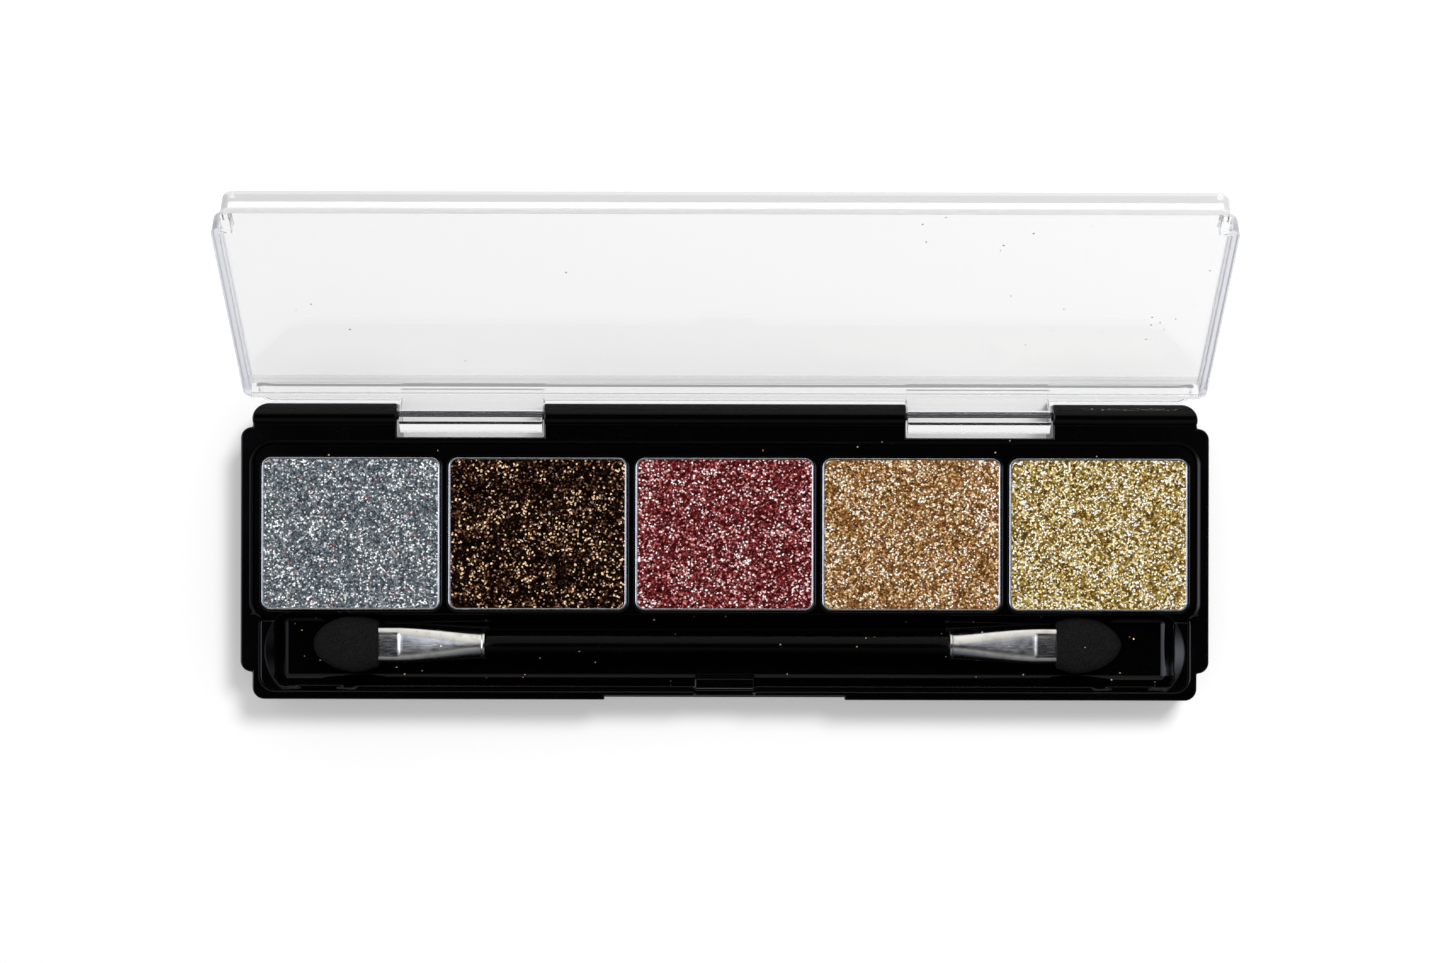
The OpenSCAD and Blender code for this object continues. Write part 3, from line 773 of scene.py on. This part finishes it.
def sponge(side, blunt, seed):
    """A foam pad with a straight back and a round tip, its skin slightly uneven."""
    source = "sponge_tip_" + side
    low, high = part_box(source)
    facing = -1.0 if side == "left" else 1.0
    back_x = high.x if side == "left" else low.x
    length = high.x - low.x
    centre_y, centre_z = (low.y + high.y) / 2, (low.z + high.z) / 2
    half_y, half_z = (high.y - low.y) / 2, (high.z - low.z) / 2
    quarter = math.pi / 2
    stations = []
    for s in np.linspace(0.0, 1.0, 6):
        width = BACK_WIDTH + (SHOULDER_WIDTH - BACK_WIDTH) * math.sin(s * quarter)
        stations.append((BACK_END * s * s, width))
    for t in np.linspace(0.13, WIDEST, 5):
        rise = math.sin((t - BACK_END) / (WIDEST - BACK_END) * quarter)
        stations.append((t, SHOULDER_WIDTH + (1 - SHOULDER_WIDTH) * rise))
    for a in np.linspace(0.06, 1.0, 22)[:-1]:
        stations.append((WIDEST + (1 - WIDEST) * math.sin(a * quarter), math.cos(a * quarter) ** blunt))
    stations.append(TIP_END)
    wobble = np.random.default_rng(seed).uniform(0, 2 * math.pi, 6)
    rings = []
    for x, width in stations:
        thickness = (THINNEST + (1 - THINNEST) * width ** THICKNESS_POWER) * min(1.0, width * TIP_FULLNESS)
        centre = Vector((back_x + facing * length * x, centre_y, centre_z))
        ring = superellipse(centre, half_y * width, half_z * thickness, SPONGE_POWER, SPONGE_SIDES)
        for i, point in enumerate(ring):
            angle = 2 * math.pi * i / len(ring)
            waves = sum(math.sin(k * angle + SKIN_TWIST * x * k + wobble[k]) for k in SKIN_WAVES)
            swell = waves * SKIN_SWELL
            point.z += swell * math.sin(angle)
            point.y -= abs(swell) * math.cos(angle)
        rings.append(ring)
    return finished("sponge_" + side, ring_solid(rings), sponge_foam, "applicator", (source,),
                    crease_deg=SPONGE_CREASE_DEG)


handle_piece = handle()
ferrules = [ferrule(side) for side in ("left", "right")]
sponges = [sponge("left", blunt=1.05, seed=3), sponge("right", blunt=1.2, seed=5)]
dress(("tip_core_left", "tip_core_right"), stem_white)


# ---------------------------------------------------------------- loose flakes

# Colours of the loose flakes with light painted in: bright as if lit on the tray and applicator, dark as if
# seen against the light on the lid.
FLAKES_IN_THE_LIGHT = ((0.9, 0.9, 0.92), (0.85, 0.4, 0.42), (0.85, 0.62, 0.28), (0.7, 0.4, 0.25),
                       (0.55, 0.6, 0.7))
FLAKES_AGAINST_THE_LIGHT = ((0.1, 0.1, 0.11), (0.3, 0.05, 0.05), (0.2, 0.1, 0.06), (0.16, 0.17, 0.2))
FLAKE_RADIUS_MM = (0.05, 0.12)
FLAKE_HALF_THICKNESS = 0.012 * MM
FLAKE_CLEARANCE = 0.02 * MM
FLAKE_LEAN = 0.35
STEEPEST_NORMAL_Z = 0.5
ABOVE_ALL = 0.1

# Where flakes lie, as (x0, y0, x1, y1, count), in mm and seen from above.
ON_TRAY = ((-57, -16.5, 57, 14, 64), (-56, -16, -40, -8, 18), (40, -16.5, 56, -8, 8))
ON_LID = ((-58, 20, 58, 40, 16), (30, 27, 58, 40, 16))
ON_APPLICATOR = ((-52, -15.5, 50, -8, 26),)


def add_flake(bm, layer, centre, turn, radius, colour):
    """Adds one six-sided flake to a bmesh."""
    sides = []
    for z in (-FLAKE_HALF_THICKNESS, FLAKE_HALF_THICKNESS):
        corners = [Vector((radius * math.cos(k * math.pi / 3), radius * math.sin(k * math.pi / 3), z))
                   for k in range(6)]
        sides.append([bm.verts.new(centre + turn @ corner) for corner in corners])
    faces = [bm.faces.new(list(reversed(sides[0]))), bm.faces.new(sides[1])]
    for k in range(6):
        m = (k + 1) % 6
        faces.append(bm.faces.new((sides[0][k], sides[0][m], sides[1][m], sides[1][k])))
    for face in faces:
        for loop in face.loops:
            loop[layer] = (*colour, 1.0)


def loose_flakes(name, body, pieces, areas, colours, seed):
    """Small six-sided flakes lying on the pieces, inside the areas."""
    trees = []
    for piece in pieces:
        bm = bmesh.new()
        bm.from_mesh(piece.data)
        trees.append(BVHTree.FromBMesh(bm))
        bm.free()
    rng = np.random.default_rng(seed)
    bm = bmesh.new()
    layer = bm.loops.layers.float_color.new("flake_colour_with_painted_light")
    down = Vector((0, 0, -1))
    for x0, y0, x1, y1, count in areas:
        for _ in range(count):
            x, y = rng.uniform(x0, x1) * MM, rng.uniform(y0, y1) * MM
            radius = rng.uniform(*FLAKE_RADIUS_MM) * MM
            spin, lean = rng.uniform(0, math.pi), rng.uniform(0, FLAKE_LEAN)
            colour = colours[int(rng.integers(len(colours)))]
            hits = [t.ray_cast(Vector((x, y, ABOVE_ALL)), down) for t in trees]
            hits = [h for h in hits if h[0] is not None]
            if not hits:
                continue
            spot, normal = max(hits, key=lambda h: h[0].z)[:2]
            if abs(normal.z) < STEEPEST_NORMAL_Z:
                continue
            onto = normal.to_track_quat("Z", "Y").to_matrix()
            turn = onto @ Matrix.Rotation(spin, 3, "Z") @ Matrix.Rotation(lean, 3, "X")
            rise = normal * (radius * math.sin(lean) + FLAKE_CLEARANCE)
            add_flake(bm, layer, spot + rise, turn, radius, colour)
    mesh = bpy.data.meshes.new(name)
    bm.to_mesh(mesh)
    bm.free()
    mesh.materials.append(loose_flake)
    piece = bpy.data.objects.new(name, mesh)
    scene.collection.objects.link(piece)
    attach(piece, body)


loose_flakes("flakes_on_tray", "base", [tray, insert, *cakes.values()], ON_TRAY, FLAKES_IN_THE_LIGHT,
             seed=21)
loose_flakes("flakes_on_lid", "lid", [lid], ON_LID, FLAKES_AGAINST_THE_LIGHT, seed=22)
loose_flakes("flakes_on_applicator", "applicator", [handle_piece, *ferrules, *sponges], ON_APPLICATOR,
             FLAKES_IN_THE_LIGHT, seed=23)


# ---------------------------------------------------------------- floor, light and camera

FLOOR_REACH = 1.5
FLOOR_COLOUR = (0.86, 0.86, 0.86, 1.0)
FLOOR_GLOW = 0.21
FLOOR_GLOW_THROUGH_LID = 0.09
BACKDROP = (0.96, 0.96, 0.96)
BACKDROP_THROUGH_LID = (0.97, 0.97, 0.98)
DOME_LEVEL = 0.5
LEFT_LEVEL = (4.6, 4.8, 5.5)
RIGHT_LEVEL = (0.05, 0.045, 0.04)
REAR_LEVEL = (1.05, 1.03, 0.97)
FRONT_LEVEL = (0.02, 0.03, 0.05)
SIDE_SHARPNESS = 8.0
POLE_GUARD = 0.0001
OVERHEAD_LEVEL = (0.006, 0.006, 0.008)
OVERHEAD_CENTRE_Y = -0.12
OVERHEAD_EDGE = (0.2, 0.42)
KEY_AT = (0.22, 0.3, 0.66)
KEY_SIZE = (0.2, 0.2)
KEY_ENERGY = 3.4


def floor():
    """A white floor that takes shadows and glows a little for the camera, in mirrors and through the lid."""
    bm = bmesh.new()
    around = ((-FLOOR_REACH, -FLOOR_REACH), (FLOOR_REACH, -FLOOR_REACH), (FLOOR_REACH, FLOOR_REACH),
              (-FLOOR_REACH, FLOOR_REACH))
    bm.faces.new([bm.verts.new((x, y, 0)) for x, y in around])
    mesh = bpy.data.meshes.new("floor")
    bm.to_mesh(mesh)
    bm.free()
    made = bpy.data.materials.new("floor_white")
    made.use_nodes = True
    tree = made.node_tree
    tree.nodes.remove(tree.nodes["Principled BSDF"])
    rays = node(made, "ShaderNodeLightPath").outputs
    seen = calc(made, "MAXIMUM", rays["Is Camera Ray"], rays["Is Glossy Ray"])
    direct = calc(made, "MULTIPLY", seen, FLOOR_GLOW)
    through = (rays["Is Transmission Ray"], direct, FLOOR_GLOW_THROUGH_LID)
    strength = node(made, "ShaderNodeMix", dict(zip(MIX_FLOAT_INPUTS, through)), data_type="FLOAT")
    diffuse = node(made, "ShaderNodeBsdfDiffuse", {"Color": FLOOR_COLOUR})
    glow = node(made, "ShaderNodeEmission", {"Color": (1, 1, 1, 1), "Strength": strength.outputs[0]})
    both = node(made, "ShaderNodeAddShader", {0: diffuse.outputs[0], 1: glow.outputs[0]})
    tree.links.new(both.outputs[0], tree.nodes["Material Output"].inputs["Surface"])
    mesh.materials.append(made)
    piece = bpy.data.objects.new("floor", mesh)
    scene.collection.objects.link(piece)


def softbox(name, at, aim, size, energy):
    """A rectangular lamp that mirrors don't see."""
    light = bpy.data.lights.new(name, "AREA")
    light.shape = "RECTANGLE"
    light.size, light.size_y = size
    light.energy = energy
    lamp = bpy.data.objects.new(name, light)
    lamp.location = at
    lamp.rotation_euler = (Vector(aim) - Vector(at)).to_track_quat("-Z", "Y").to_euler()
    lamp.visible_glossy = False
    scene.collection.objects.link(lamp)


def studio_world():
    """A plain pale dome; mirrors see it dark overhead, where the camera hangs, and brightest at the left."""
    world = bpy.data.worlds.new("studio")
    world.use_nodes = True
    scene.world = world
    split = node(world, "ShaderNodeSeparateXYZ", {0: node(world, "ShaderNodeTexCoord").outputs["Generated"]})
    x, y, z = (split.outputs[axis] for axis in "XYZ")
    across = mix(world, calc(world, "MULTIPLY_ADD", x, 0.5, 0.5), LEFT_LEVEL, RIGHT_LEVEL)
    along = mix(world, calc(world, "MULTIPLY_ADD", y, 0.5, 0.5), FRONT_LEVEL, REAR_LEVEL)
    # How far a direction points sideways, and not to the front or rear, whatever its height.
    level_share = calc(world, "SUBTRACT", 1.0 + POLE_GUARD, calc(world, "MULTIPLY", z, z))
    sideways = calc(world, "DIVIDE", calc(world, "MULTIPLY", x, x), level_share)
    ring = mix(world, calc(world, "POWER", sideways, SIDE_SHARPNESS), along, across)
    ahead = calc(world, "ADD", y, -OVERHEAD_CENTRE_Y)
    away = calc(world, "SQRT", calc(world, "MULTIPLY_ADD", x, x, calc(world, "MULTIPLY", ahead, ahead)))
    below = calc(world, "LESS_THAN", z, 0.0)
    edge = {"Value": calc(world, "ADD", away, below),
            "From Min": OVERHEAD_EDGE[0], "From Max": OVERHEAD_EDGE[1]}
    beside = node(world, "ShaderNodeMapRange", edge, interpolation_type="SMOOTHSTEP").outputs["Result"]
    studio = mix(world, beside, OVERHEAD_LEVEL, ring)
    rays = node(world, "ShaderNodeLightPath").outputs
    seen = mix(world, rays["Is Glossy Ray"], (DOME_LEVEL,) * 3, studio)
    seen = mix(world, rays["Is Transmission Ray"], seen, BACKDROP_THROUGH_LID)
    seen = mix(world, rays["Is Camera Ray"], seen, BACKDROP)
    world.node_tree.links.new(seen, world.node_tree.nodes["Background"].inputs["Color"])


floor()
studio_world()
softbox("key_right_rear", KEY_AT, (0, 0, 0), KEY_SIZE, KEY_ENERGY)

LENS_MM = 68.0
SENSOR_MM = 36.0
CAMERA_X = -0.3 * MM
CAMERA_Y = 8.8 * MM
CAMERA_ABOVE_LAND = 0.341
CAMERA_ROLL_DEG = 0.12
INSERT_ABOVE_LAND = 1.0 * MM
NEAREST_SEEN = 0.01

land_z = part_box("pan_insert")[1].z - INSERT_ABOVE_LAND
camera_data = bpy.data.cameras.new("camera")
camera_data.lens = LENS_MM
camera_data.sensor_width = SENSOR_MM
camera_data.clip_start = NEAREST_SEEN
camera = bpy.data.objects.new("camera", camera_data)
camera.location = (CAMERA_X, CAMERA_Y, land_z + CAMERA_ABOVE_LAND)
camera.rotation_euler = (0, 0, math.radians(CAMERA_ROLL_DEG))
scene.collection.objects.link(camera)
scene.camera = camera
scene.view_settings.view_transform = "Standard"
